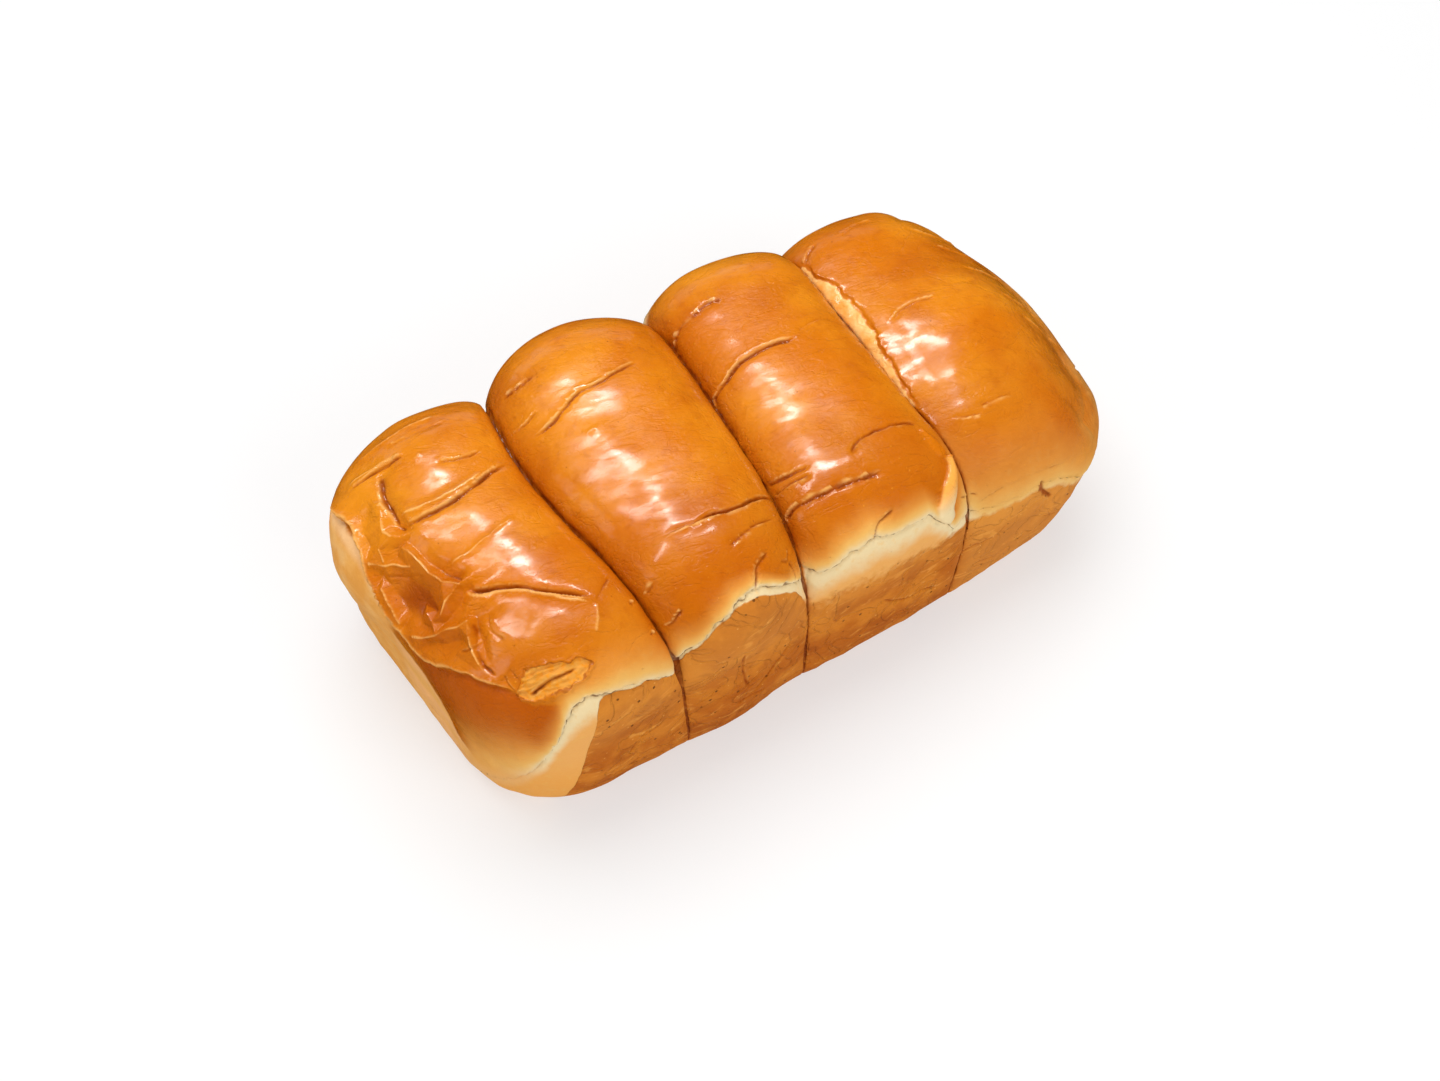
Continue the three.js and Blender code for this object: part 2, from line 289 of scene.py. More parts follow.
FOLDS = [
    # the end roll: its deep fold, and the long crease that runs into a star of small ones
    fold([(-102, -9, 83), (-101, -14, 84), (-96, -17, 85), (-89, -21, 87), (-84, -26, 87), (-78, -31, 87),
          (-71, -36, 86)], 2.6, 0.8, 0.4, 1.3),
    ridge([(-95, -19, 85), (-88, -24, 86), (-80, -32, 86), (-72, -39, 85)], 0.9, 2.4),
    fold([(-108, 19), (-103, 17), (-96, 16), (-90, 16), (-81, 18), (-75, 20), (-66, 22)],
         1.7, 0.65, 1.0, 0.2),
    ridge([(-107, 22), (-100, 20), (-92, 19), (-83, 20), (-76, 22)], 0.9, 2.2),
    fold([(-104, 40), (-107, 31), (-107, 24), (-108, 19)], 1.4, 0.7, 0.3, 0.9),
    fold([(-118, 12, 71), (-114, 6, 75), (-110, 2, 78)], 0.5, 0.6, 0.2, 0.1),
    fold([(-105, -21, 80), (-107, -27, 78), (-108, -33, 75), (-106, -40, 74)], 1.0, 0.6, 0.3, 0.4),
    fold([(-112, -26), (-108, -29), (-103, -28)], 0.7, 0.5, 0.4, 0.2),
    fold([(-100, -22), (-102, -28), (-100, -34)], 0.6, 0.5, 0.5, 0.1),
    fold([(-106, -41, 77), (-106, -43, 75), (-105, -47, 74)], 0.6, 0.45, 0.5),
    fold([(-104, -41, 78), (-103, -44, 77)], 0.5, 0.4, 0.4),
    ridge([(-113, 45, 73), (-103, 43, 82), (-94, 42, 86)], 0.9, 2.0),
    fold([(-94, 40), (-102, 41), (-109, 42), (-114, 43)], 0.8, 0.6, 0.2, 0.6),
    ridge([(-108, 51, 73), (-98, 51, 80), (-86, 51, 82), (-76, 50, 82)], 0.6, 1.6),
    fold([(-103, -2), (-94, -2), (-84, 0), (-76, 1)], -0.5, 0.45),
    fold([(-71, -38), (-74, -43), (-77, -47)], -0.6, 0.5),
    # the gash through the scuffed patch
    fold([(-103, -50), (-99, -50.5), (-95, -51), (-91, -52), (-86, -52.6)], 1.8, 0.6, 0.6, 0.5),
    fold([(-63, -31), (-68, -35), (-72, -38)], 0.7, 0.5, 0.4, 0.2),
    fold([(-99, 48), (-91, 46), (-84, 46), (-76, 45)], 0.6, 0.45, 0.7),
    fold([(-88, 31), (-80, 29), (-73, 29)], 0.8, 0.45, 0.8),
    fold([(-93, 36), (-90, 37)], -0.5, 0.5),
    # the second roll
    fold([(-59, 43), (-50, 42), (-38, 42)], 1.0, 0.45, 0.9),
    fold([(-62, 30), (-56, 29), (-52, 30)], 0.6, 0.45, 0.6),
    fold([(-59, 23), (-50, 23), (-40, 27), (-30, 27), (-23, 28), (-14, 28)], 1.1, 0.5, 1.0, 0.1),
    fold([(-44, 13), (-40, 13)], -0.5, 0.6),
    fold([(-45, -32), (-37, -33), (-30, -34), (-25, -34)], 0.5, 0.5, 0.0, 1.0),
    fold([(-33, -33), (-27, -34), (-20, -35), (-10, -34), (-3, -33)], 1.7, 0.6, 0.4, 0.6),
    fold([(-31, -46), (-26, -45), (-19, -43), (-9, -42)], 0.9, 0.55, 0.1, 0.6),
    fold([(-29, -60), (-26, -56), (-24, -54), (-18, -51)], 1.0, 0.6, 0.6, 0.1),
    fold([(-12, -56, 79), (-11, -58, 76), (-12, -60, 72)], 1.2, 0.5, 0.5, 0.3),
    fold([(-16, -55, 81), (-12, -56, 80), (-8, -53, 82)], 0.8, 0.5, 0.5, 0.1),
    fold([(-61, -52, 76), (-58, -54, 77), (-54, -54, 79), (-50, -53, 81)], 0.9, 0.5, 0.9, 0.1),
    fold([(-63, -42, 80), (-58, -43, 83), (-53, -42, 85)], 0.7, 0.5, 0.8),
    # the third roll
    fold([(0, 31), (3, 36), (10, 37), (16, 38), (24, 37)], 1.0, 0.5, 0.9),
    fold([(-2, 5), (1, 9), (6, 10), (13, 12), (24, 12), (34, 10)], 1.7, 0.6, 1.0),
    fold([(34, 12), (42, 14), (51, 13)], 0.5, 0.5, 0.2),
    fold([(20, -38), (27, -34), (36, -34), (43, -35), (50, -38)], 1.1, 0.6, 0.3, 0.5),
    fold([(-4, -27), (-1, -30), (4, -32), (9, -33)], 1.1, 0.55, 0.6, 0.2),
    fold([(-5, -32), (1, -34), (8, -36)], 0.8, 0.5, 0.2, 0.6),
    fold([(-9, -43), (-3, -41), (4, -43), (10, -44), (20, -46), (29, -47)], 2.0, 0.65, 1.0, 0.4),
    fold([(14, -62), (17, -59), (20, -58), (25, -57)], 0.9, 0.55, 0.7, 0.1),
    # the last roll
    fold([(65, 2), (70, 4), (76, 4), (84, 2)], 0.5, 0.5, 0.8),
    fold([(70, -40), (76, -40), (84, -41)], 0.6, 0.5, 0.1, 0.7),
    fold([(60, -38), (66, -41), (70, -42)], 0.6, 0.5, 0.1, 0.7),
    fold([(58, 41), (61, 44), (66, 46)], 0.7, 0.6, 0.6, 0.1),
    fold([(73, 43), (82, 46), (90, 46)], 0.5, 0.6, 0.5),
    fold([(96, 37), (103, 32), (112, 30), (119, 30)], 0.5, 0.7, 0.5),
    fold([(99, 26), (107, 21), (118, 19)], 0.6, 0.6, 0.5),
    fold([(102, 12), (110, 8), (121, 7)], 0.6, 0.6, 0.5, 0.1),
    fold([(106, -4), (113, -8), (122, -8)], 0.7, 0.6, 0.4, 0.1),
    fold([(108, -14), (115, -18), (121, -20)], 0.6, 0.6, 0.4, 0.1),
    fold([(92, 5), (99, 3), (104, 5)], 0.4, 0.7, 0.3),
    fold([(55, 58), (69, 61), (84, 59), (97, 56)], 0.6, 0.4, 0.4, 0.0, "front"),
    fold([(51, -61, 68), (54, -60, 65), (58, -59, 62)], 0.7, 0.45, 0.4, 0.1),
    # creases pressed into the walls where the loaf leaned on its tin
    fold([(-35, 57), (-35, 46), (-34, 36), (-32, 29)], 0.9, 0.55, 0.4, 0.3, "front"),
    fold([(-16, 42), (-20, 36), (-26, 29), (-32, 25)], 0.9, 0.6, 0.4, 0.3, "front"),
    fold([(-26, 21), (-32, 24), (-38, 23)], 0.7, 0.6, 0.4, 0.0, "front"),
    fold([(18, 38), (26, 31), (31, 28), (38, 27), (45, 21)], 0.9, 0.6, 0.5, 0.3, "front"),
    fold([(24, 24), (32, 21), (38, 22)], 0.6, 0.6, 0.4, 0.0, "front"),
    fold([(82, 56), (84, 48), (89, 40)], 1.3, 0.7, 0.3, 0.5, "front"),
    fold([(51, 34), (57, 36), (66, 36), (71, 41)], 0.7, 0.6, 0.4, 0.0, "front"),
    fold([(-78, 28), (-73, 36), (-67, 39)], 0.7, 0.6, 0.4, 0.1, "front"),
    fold([(-86, 22), (-78, 19), (-70, 22)], 0.7, 0.6, 0.4, 0.1, "front"),
    fold([(-84, 12), (-77, 18), (-72, 17)], 0.6, 0.6, 0.3, 0.1, "front"),
    fold([(60, 24), (68, 20), (75, 22)], 0.6, 0.6, 0.3, 0.1, "front"),
    fold([(86, 30), (94, 26), (101, 29)], 0.6, 0.6, 0.3, 0.1, "front"),
    fold([(-90, 40), (-82, 33), (-74, 32)], 0.9, 0.7, 0.3, 0.2, "back"),
    fold([(-30, 50), (-28, 38), (-33, 27)], 0.9, 0.6, 0.3, 0.2, "back"),
    fold([(15, 30), (25, 36), (36, 34)], 0.8, 0.7, 0.3, 0.2, "back"),
    fold([(70, 45), (74, 33), (80, 26)], 0.9, 0.6, 0.2, 0.3, "back"),
    fold([(-30, 52), (-26, 42), (-24, 33)], 1.1, 0.7, 0.3, 0.3, "far"),
    fold([(-8, 60), (2, 55), (14, 56)], 0.8, 0.7, 0.4, 0.1, "far"),
    fold([(20, 44), (28, 38), (33, 28)], 0.9, 0.7, 0.2, 0.2, "far"),
    fold([(38, 40), (26, 36), (10, 37), (-6, 33)], 0.6, 0.8, 0.3, 0.1, "near"),
    fold([(20, 22), (4, 20), (-12, 21), (-26, 18)], 0.7, 0.8, 0.3, 0.1, "near"),
]
FOLD_TAPER = 0.16
LINE_STEP = 2.0


def smooth_line(points, step):
    """A smooth line through a few points, as points about one step apart."""
    points = np.array(points, float)
    ends = np.vstack([2 * points[0] - points[1], points, 2 * points[-1] - points[-2]])
    line = []
    for before, start, end, after in zip(ends, ends[1:], ends[2:], ends[3:]):
        count = max(2, int(np.linalg.norm(end - start) / step))
        for t in np.arange(count) / count:
            line.append(
                0.5
                * (
                    2 * start
                    + (end - before) * t
                    + (2 * before - 5 * start + 4 * end - after) * t ** 2
                    + (3 * start - before - 3 * end + after) * t ** 3
                )
            )
    line.append(points[-1])
    return np.array(line)


def on_crust(crust, view, path):
    """A line, smoothed and laid on the crust."""
    line = smooth_line(path, LINE_STEP)
    if line.shape[1] == 3:
        return np.array([crust.find_nearest(Vector(place))[0] for place in line])
    origin, direction = VIEWS[view]
    landed = [crust.ray_cast(Vector(origin(*place)), Vector(direction))[0] for place in line]
    return np.array([point for point in landed if point is not None])


def beside_line(point, normal, line, reach):
    """For the points within reach of a line: their numbers, signed distance from it and place along it."""
    near = np.where(
        np.all(point > line.min(axis=0) - reach, axis=1)
        & np.all(point < line.max(axis=0) + reach, axis=1)
    )[0]
    starts = line[:-1]
    spans = line[1:] - starts
    to_point = point[near][:, None, :] - starts[None]
    t = np.clip(np.sum(to_point * spans, axis=2) / np.sum(spans ** 2, axis=1), 0.0, 1.0)
    gap = to_point - spans[None] * t[..., None]
    distance = np.linalg.norm(gap, axis=2)
    nearest = distance.argmin(axis=1)
    rows = np.arange(len(near))
    side = np.einsum("ij,ij->i", np.cross(spans[nearest], gap[rows, nearest]), normal[near])
    along = (nearest + t[rows, nearest]) / len(starts)
    signed = distance[rows, nearest] * np.where(side > 0, 1.0, -1.0)
    kept = abs(signed) < reach
    return near[kept], signed[kept], along[kept]


def crust_from(point, shape):
    """The crust as something that rays can be cast on."""
    numbers = [[vert.index for vert in face.verts] for face in shape.faces]
    return BVHTree.FromPolygons([Vector(place) for place in point], numbers)


def surface_normals(point, shape):
    for vert, place in zip(shape.verts, point):
        vert.co = place
    shape.normal_update()
    return np.array([vert.normal for vert in shape.verts])


block.verts.index_update()
cube = block_points(block)
dough = dough_surface(cube)
crust = crust_from(dough, block)
fold_lines = [on_crust(crust, item["view"], item["path"]) for item in FOLDS]


# ---- The shred: the pale torn band where the dough outgrew the tin ----
# Above the tin's rim the dough burst sideways in the oven, so a band of skin stayed pale and soft,
# with a ragged tear under it. The tear's height is given along the front wall and along the back one.

FRONT_TEAR = np.array([
    (-120, 8), (-112, 23), (-110, 27), (-105, 40), (-99, 58), (-96, 67), (-93, 71), (-88, 73), (-83, 72),
    (-74, 69), (-67, 66), (-58, 59), (-54, 67), (-48, 72), (-44, 76), (-36, 80), (-28, 81), (-22, 78.5),
    (-14, 73), (-10, 68), (-1, 69), (6, 73), (15, 75), (24, 73), (36, 72), (44, 61), (47, 55),
    (53, 56), (62, 54), (73, 53), (82, 53), (90, 50), (100, 43), (112, 34), (122, 30),
])
# the brown skin of the wall ends a little under the tear in places
FRONT_PANEL = np.array([
    (-101, -10), (-97, 15), (-94, 30), (-90, 52), (-86, 70), (-83, 71.5), (-74, 68.5), (-67, 65.5),
    (-58, 58.5), (-54, 66.5), (-48, 71.5), (-44, 75.5), (-36, 79.5), (-28, 79.5), (-22, 76), (-14, 70),
    (-11, 62), (-6, 59), (6, 62), (22, 62), (36, 58), (44, 54), (50, 52), (62, 52), (73, 51.5), (82, 51),
    (90, 48), (100, 41), (112, 32), (122, 28),
])
PANEL_FADE = np.array([
    (-100, 0.8), (-90, 0.5), (-84, 0.4), (-60, 0.5), (-12, 0.6), (-9, 7), (20, 9), (44, 6), (50, 2), (122, 4),
])
CREAM_RISE = np.array([
    (-120, 26), (-110, 22), (-104, 11), (-97, 5), (-88, 3.5), (-76, 6), (-62, 8), (-54, 5.5),
    (-44, 3.4), (-30, 2), (-16, 1.6), (-11, 3), (0, 4.5), (20, 4.5), (36, 4.5), (46, 6), (52, 15),
    (60, 18), (90, 18), (122, 17),
])
BACK_TEAR = np.array([
    (-124, 50), (-100, 58), (-80, 64), (-63, 58), (-50, 65), (-30, 68), (-10, 61), (10, 66),
    (35, 68), (54, 58), (75, 60), (100, 54), (124, 46),
])


def height_along(points, table):
    return np.interp(points[:, 0], table[:, 0], table[:, 1])


# ---- The end's ledge and the scuffed patch ----
# On the slumped end the glossy skin stops in a raised, curled edge above the paler end wall.
# Below its front corner a patch the size of a thumbnail was scuffed open down to the crumb.

LEDGE = [
    (50, 64), (47, 67), (37, 72), (29, 73), (23, 72), (18, 69.5), (11, 66), (3, 64), (-6, 63), (-15, 63.5),
    (-21, 65), (-27, 69), (-34, 72), (-41, 73), (-47, 73.5), (-52, 72),
]
LEDGE_REACH = 16.0
CRUMPLE_MIDDLE = np.array([-112.0, -6.0, 74.0])
CRUMPLE_REACH = np.array([14.0, 34.0, 16.0])
CRUMPLE_RADII = np.array([12.0, 26.0, 13.0])  # where its skin is browner
# the slope above the ledge: where its foot lies, and how it runs into the loaf and up
SLOPE_FOOT_X = -121.0
SLOPE_FOOT_Z = 63.0
SLOPE_ALONG = 0.69
SLOPE_UP = 0.72
# the crumpled skin as flat facets: corners as place along the ledge, place up the slope and height,
# where the corners of one line are joined by a sharp edge
CRUMPLE_DEPTH = 1.4
# the crumple's edges higher than this are raised a little and given a painted highlight
CRUMPLE_EDGE = 0.8  # an edge this high catches the light
CRUMPLE = [
    # along the ledge, and the inner rim above it
    [(40.5, 10.5, 0.6), (33.5, 6.5, 0.6), (24, 9, 0.6), (18, 6, 0.7), (11, 3.5, 0.7), (2.5, 1.5, 0.7),
     (-4.5, 1, 0.7), (-13.5, 2.5, 0.7), (-19.5, 5.5, 0.7), (-26, 9, 0.7), (-34.5, 15, 0.5),
     (-41.5, 17.5, 0.3)],
    [(9.5, 5.5, 0.9), (4, 4, 1.1), (-2.5, 3, 0.9)],
    [(8, 7.5, -0.8), (3, 6.5, -1.3), (-3, 6.5, -1)],
    # a step in the skin, and the hollow under it
    [(18, 7.5, 0.9), (13, 11.5, 0.6), (7, 17, 0.2)],
    [(12.5, 7.5, -0.9)],
    [(5.5, 14, -1.2), (-2.5, 16.5, -1.3)],
    [(-4.5, 13, -1.8), (-9.5, 15, -1.5)],
    # the ridge beside the deep fold, with its groove
    [(12.5, 19, 1.2), (5, 21, 1.3), (0, 21, 1.2), (-5, 22.5, 1.2), (-8.5, 25.5, 1.3), (-10, 26.5, 1.6)],
    [(10.5, 21.5, -0.4), (3.5, 22.5, -0.9), (-4, 24.5, -1.3), (-8, 27, -1.6)],
    [(11, 25.5, 0.1), (1, 27, 0.3), (-7.5, 30.5, 0.4)],
    [(-10.5, 24, 1.2), (-11, 20, 1.2), (-12.5, 16.5, 1)],
    [(-12, 25.5, -0.7), (-13.5, 22.5, -1.1), (-14, 19, -0.8)],
    [(-16, 25, 0), (-17.5, 21, -0.6)],
    # a bump, a hollow, and the long lip that runs back from the ledge
    [(-8.5, 13, 0.6), (-12, 13, 0.7)],
    [(-8, 8, -1), (-12.5, 10, -0.6)],
    [(-9.5, 4.5, 1.4), (-13, 7, 1), (-16, 11, 1.1), (-18.5, 16, 1.3), (-20, 19, 1.2), (-21, 22, 1.6)],
    [(-25.5, 19.5, 1.5), (-29.5, 18, 1.1), (-33.5, 17, 0.6)],
    [(-15, 15.5, -0.5), (-17.5, 19.5, -0.6)],
    [(-15, 6.5, -0.2), (-20.5, 12.5, -0.3), (-23, 16.5, -0.5)],
    [(-25, 12.5, 0.3)],
    [(-19, 8.5, 0.2)],
    [(-20.5, 24, -1.2), (-26.5, 21.5, -1.1), (-31.5, 20, -0.6)],
    [(-25, 26, 0.1), (-31.5, 23, 0.1), (-36.5, 20, 0)],
    # the star where the long crease starts
    [(18.5, 22, -1.6)],
    [(25, 22.5, -0.6), (30, 23, -1), (36.5, 23.5, -0.8)],
    [(23, 25.5, 0.9), (28.5, 25.5, 0.4), (33, 26.5, 0.3)],
    [(25, 19, 1.2), (21.5, 17.5, 1), (18, 18.5, 1.5)],
    [(18, 13.5, 1.3), (14.5, 12, 0.7)],
    [(21.5, 20.5, -1)],
    [(16.5, 20.5, 0.5), (14.5, 17.5, -0.5), (12.5, 15.5, -0.4)],
    [(29.5, 20, 1), (29.5, 21.5, 0.9)],
    [(30, 12.5, -0.5), (29.5, 15.5, -0.6)],
    [(26, 11.5, 0.1)],
    [(21, 11, -0.3)],
    [(34, 19, 0.2), (34, 14, 0.1)],
    [(39, 18.5, 0.1)],
    [(15, 25, 0.2), (14, 21, -0.3)],
    # level skin all round
    [(45, 34, 0), (30, 34, 0), (15, 34, 0), (0, 35, 0), (-12, 36, 0), (-25, 34, 0), (-40, 30, 0)],
    [(45, -2, 0), (20, -4, 0), (0, -6, 0), (-20, -2, 0), (-40, 8, 0)],
]
SCUFF_PATH = [(-105, -48), (-98, -50), (-93, -51.5), (-88, -52.5), (-83, -53)]
SCUFF_REACH = 9.0
FAR_OFF = -9.0  # stands for outside, in a distance that counts inwards from an edge
SCUFF_HALF_WIDTH = 4.6
SCUFF_DEPTH = 1.0

ledge_line = on_crust(crust, "near", LEDGE)
scuff_line = on_crust(crust, "crown", SCUFF_PATH)


# ---- The pale strip and knob beside the third valley ----
# Two rolls pulled apart here as they rose, so a ragged strip of unglazed skin shows along the valley,
# and a pale knob of dough swells out of the valley where it turns down to the wall.

STRIP_PATH = [
    (57.5, 43), (58, 36), (60.5, 26), (61, 17), (60, 4), (58, -6), (56.5, -14), (55.5, -22), (54.5, -29),
]
STRIP_REACH = 8.0
STRIP_RIM = 0.9
strip_line = on_crust(crust, "crown", STRIP_PATH)
# the knob is a drop of dough that hangs from a point in the valley, the flap a small lens above it
KNOB_PATH = [
    (49.5, -50, 78), (48.5, -54, 76), (45.5, -58, 74), (42.5, -61, 71), (42, -62.5, 67), (43, -63, 64),
]
KNOB_HALF_WIDTH = 4.0
FLAP_PATH = [(47, -40, 84), (48.5, -45, 82), (50, -50, 79)]
FLAP_HALF_WIDTH = 2.3
knob_line = on_crust(crust, "crown", KNOB_PATH)
flap_line = on_crust(crust, "crown", FLAP_PATH)


# ---- The fine block: more cells where the surface is creased or torn ----
# The even grid is too coarse for a sharp crease in the skin, so its cells are split twice along the
# folds, the valleys and the tear and over the crumpled end. The flat of the base becomes one face.


def refine(block, chosen):
    """Splits the edges between chosen points in two."""
    edges = [edge for edge in block.edges if chosen[edge.verts[0].index] and chosen[edge.verts[1].index]]
    bmesh.ops.subdivide_edges(block, edges=edges, cuts=1, use_grid_fill=True)
    block.verts.index_update()


def set_points(block, points):
    for vert, place in zip(block.verts, points):
        vert.co = place


LINE_REACHES = (2.2, 0.8)
VALLEY_REACHES = (1.7, 0.7)
TEAR_REACHES = (2.2, 0.8)
CRUMPLE_SIZES = (1.0, 0.85)  # as a share of the crumpled patch's reach
FRONT_BAND = 16.0  # how far in from the front wall the tear can lie
for line_reach, valley_reach, tear_reach, crumple_size in zip(
    LINE_REACHES, VALLEY_REACHES, TEAR_REACHES, CRUMPLE_SIZES
):
    cube = block_points(block)
    dough = dough_surface(cube)
    dough_normal = surface_normals(dough, block)
    creased = [(line, line_reach) for line in (*fold_lines, ledge_line, strip_line, flap_line)]
    creased += [(scuff_line, SCUFF_HALF_WIDTH + 1.5), (knob_line, KNOB_HALF_WIDTH + 1.0)]
    fine = np.zeros(len(dough), bool)
    for line, reach in creased:
        numbers, gap, along = beside_line(dough, dough_normal, line, reach)
        fine[numbers] = True
    fine |= (abs(valley_gap(dough)[0]) < valley_reach) & (dough[:, 2] > 2.0)
    fine |= np.sum(((dough - CRUMPLE_MIDDLE) / CRUMPLE_REACH) ** 2, axis=1) < crumple_size ** 2
    on_front = (dough[:, 1] < -TIN_WIDTH / 2 + FRONT_BAND) & (dough_normal[:, 2] < 0.9)
    fine |= on_front & (abs(dough[:, 2] - height_along(dough, FRONT_TEAR)) < tear_reach)
    set_points(block, cube)
    refine(block, fine)

# the flat of the base, inside its rounded edge, as shares of the cube along and across
BASE_ALONG = 0.86
BASE_ACROSS = 0.80


def in_flat_base(vert):
    return vert.co.z < -0.999 and abs(vert.co.x) < BASE_ALONG and abs(vert.co.y) < BASE_ACROSS


base_faces = [face for face in block.faces if all(in_flat_base(vert) for vert in face.verts)]
bmesh.ops.dissolve_faces(block, faces=base_faces)
block.verts.index_update()
cube = block_points(block)
point = dough_surface(cube)
normal = surface_normals(point, block)


# ---- The relief: the dough takes its unevenness, valleys, folds, tear and ledge ----
# The skin is never even: it bellies between the folds, crumples where the end sank, and breaks
# into a rough edge where it tore. Everything moves along the skin's own outward direction.


def wander(points, size, seed=0.0):
    """Smooth noise, about -1 to 1, with bumps about one size across."""
    shift = Vector((seed * 7.3, seed * 3.1, seed * 5.7))
    return np.array([noise.noise(Vector(place) / size + shift) for place in points])


def ridges(points, size, seed=0.0):
    """Sharp-backed folds about one size apart, from 0 in the hollows to 1 along the ridges."""
    return 1.0 - np.clip(abs(wander(points, size, seed)) * 2.4, 0.0, 1.0)


def hump(x, width):
    return np.exp(-((x / width) ** 2))


def cusp(x, width):
    return np.exp(-abs(x) / width)


def facet_heights(places, lines):
    """Heights over the flat triangles that a few lines of corners span, and nothing outside them."""
    corners = [corner for line in lines for corner in line]
    edges = []
    for line in lines:
        first = corners.index(line[0])
        edges += [(first + step, first + step + 1) for step in range(len(line) - 1)]
    flat = [Vector(corner[:2]) for corner in corners]
    spots, _, triangles, sources, *_ = delaunay_2d_cdt(flat, edges, [], 0, 1e-3)
    tops = np.array([corners[source[0]][2] if source else 0.0 for source in sources])
    heights = np.zeros(len(places))
    for triangle in triangles:
        a, b, c = (np.array(spots[number]) for number in triangle)
        across = np.linalg.inv(np.column_stack([b - a, c - a]))
        share = (places - a) @ across.T
        inside = (share.min(axis=1) >= -1e-6) & (share.sum(axis=1) <= 1 + 1e-6)
        low, *rises = tops[list(triangle)]
        heights[inside] = low + share[inside] @ (np.array(rises) - low)
    return heights


def off_line(places, line):
    """How far places lie from a line through a few corners."""
    starts = np.array(line[:-1])[:, :2]
    spans = np.array(line[1:])[:, :2] - starts
    to_place = places[:, None, :] - starts[None]
    t = np.clip(np.sum(to_place * spans, axis=2) / np.sum(spans ** 2, axis=1), 0.0, 1.0)
    return np.linalg.norm(to_place - spans[None] * t[..., None], axis=2).min(axis=1)


VALLEY_DEPTH_WALL = 0.6
VALLEY_DEPTH_CROWN = 1.1
LEDGE_OUT = 2.0
LEDGE_LIP = 0.8
LEDGE_TUCK = 1.0
WALL_SET_IN = 0.9
CRACK_DEPTH = 0.9
BACK_SET_IN = 0.6
KNOB_OUT = 2.4
FLAP_OUT = 1.0

above_base = smoothstep(point[:, 2], 0.3, 9.0)
on_crown = smoothstep(normal[:, 2], 0.15, 0.6)
relief = 0.5 * wander(point, 26.0, 1) + 0.2 * wander(point, 11.0, 2)
stretched = point * np.array([0.45, 1.0, 1.0])
relief += on_crown * 0.07 * wander(stretched, 4.5, 3)
leathery = ridges(point * np.array([1.0, 1.0, 1.6]), 10.0, 8) * smoothstep(wander(point, 16.0, 9), -0.1, 0.3)
relief += (1.0 - on_crown) * (0.10 * wander(point, 4.0, 5) + 0.35 * leathery)

# valleys: a tight, slightly wavering line at the bottom of each
gap, nearest = valley_gap(point)
gap = gap + 0.25 * wander(point, 6.0, 6) + 0.15 * wander(point, 2.0, 7)
# this line is also darkened in the crust's colour, as painted shade
valley = cusp(gap, 0.35)
beyond_valley = gap
relief -= mix(VALLEY_DEPTH_WALL, VALLEY_DEPTH_CROWN, on_crown) * valley * smoothstep(point[:, 2], 1.0, 6.0)
# painted shade: a darker band painted on the rolls' flanks beside each valley, wide on the side towards the
# far end and narrow on the other
flank_shade = np.where(gap > 0, cusp(gap, 5.0), cusp(gap, 1.5)) * on_crown

# colour marks: the crease mark is painted shade in the grooves and hollows, the lip mark painted highlight
# along lips and sharp ridges
crease_shade = np.zeros(len(point))
lip = np.zeros(len(point))
for number, (item, line) in enumerate(zip(FOLDS, fold_lines)):
    numbers, gap, along = beside_line(point, normal, line, item["reach"])
    near = point[numbers]
    width = item["width"]
    gap = gap + 0.4 * wander(near, 5.0, number) + 0.2 * wander(near, 1.7, number)
    taper = smoothstep(along, 0.0, FOLD_TAPER) * smoothstep(along, 1.0, 1.0 - FOLD_TAPER)
    strength = taper * (0.85 + 0.5 * wander(near, 6.0, number + 0.5))
    if item["height"]:
        tent = np.clip(1.0 - abs(gap) / width, 0.0, 1.0) ** 1.5
        relief[numbers] += strength * item["height"] * tent
        lip[numbers] = np.maximum(lip[numbers], strength * cusp(gap, 0.35) * min(item["height"], 1.0))
        continue
    groove = cusp(gap, width)
    left = cusp(gap - 1.5 * width, 0.7 * width) * item["left"]
    right = cusp(gap + 1.5 * width, 0.7 * width) * item["right"]
    relief[numbers] += strength * (left + right - item["depth"] * groove)
    crease_shade[numbers] = np.maximum(crease_shade[numbers], strength * groove * np.clip(item["depth"], 0.0, 1.4))
    raised = strength * (np.maximum(left, 0) + np.maximum(right, 0) + groove * max(-item["depth"], 0))
    lip[numbers] = np.maximum(lip[numbers], raised)

# the crumpled patch on the end roll: flat facets between sharp edges
on_slope = (point[:, 0] - SLOPE_FOOT_X) * SLOPE_ALONG + (point[:, 2] - SLOPE_FOOT_Z) * SLOPE_UP
end_roll = smoothstep(point[:, 0], -84.0, -92.0) * smoothstep(point[:, 2], 45.0, 58.0)
wavering = np.stack([wander(point, 5.0, 13), wander(point, 5.0, 14)], axis=1)
flattened = np.stack([point[:, 1], on_slope], axis=1) + 0.6 * wavering
crumple = facet_heights(flattened, CRUMPLE)
relief += CRUMPLE_DEPTH * end_roll * crumple
# painted highlight along the high edges, which are also raised a little, and painted shade in the hollows
for line in CRUMPLE:
    if len(line) > 1 and line[0][2] > CRUMPLE_EDGE:
        edge = cusp(off_line(flattened, line), 0.28) * end_roll * (0.7 + 0.6 * wander(point, 4.0, 15))
        relief += 0.25 * edge
        lip = np.maximum(lip, 0.85 * edge)
crease_shade = np.maximum(crease_shade, 0.7 * end_roll * smoothstep(crumple, -0.7, -1.6))
crumple_zone = end_roll * np.exp(-np.sum(((point - CRUMPLE_MIDDLE) / CRUMPLE_RADII) ** 2, axis=1))

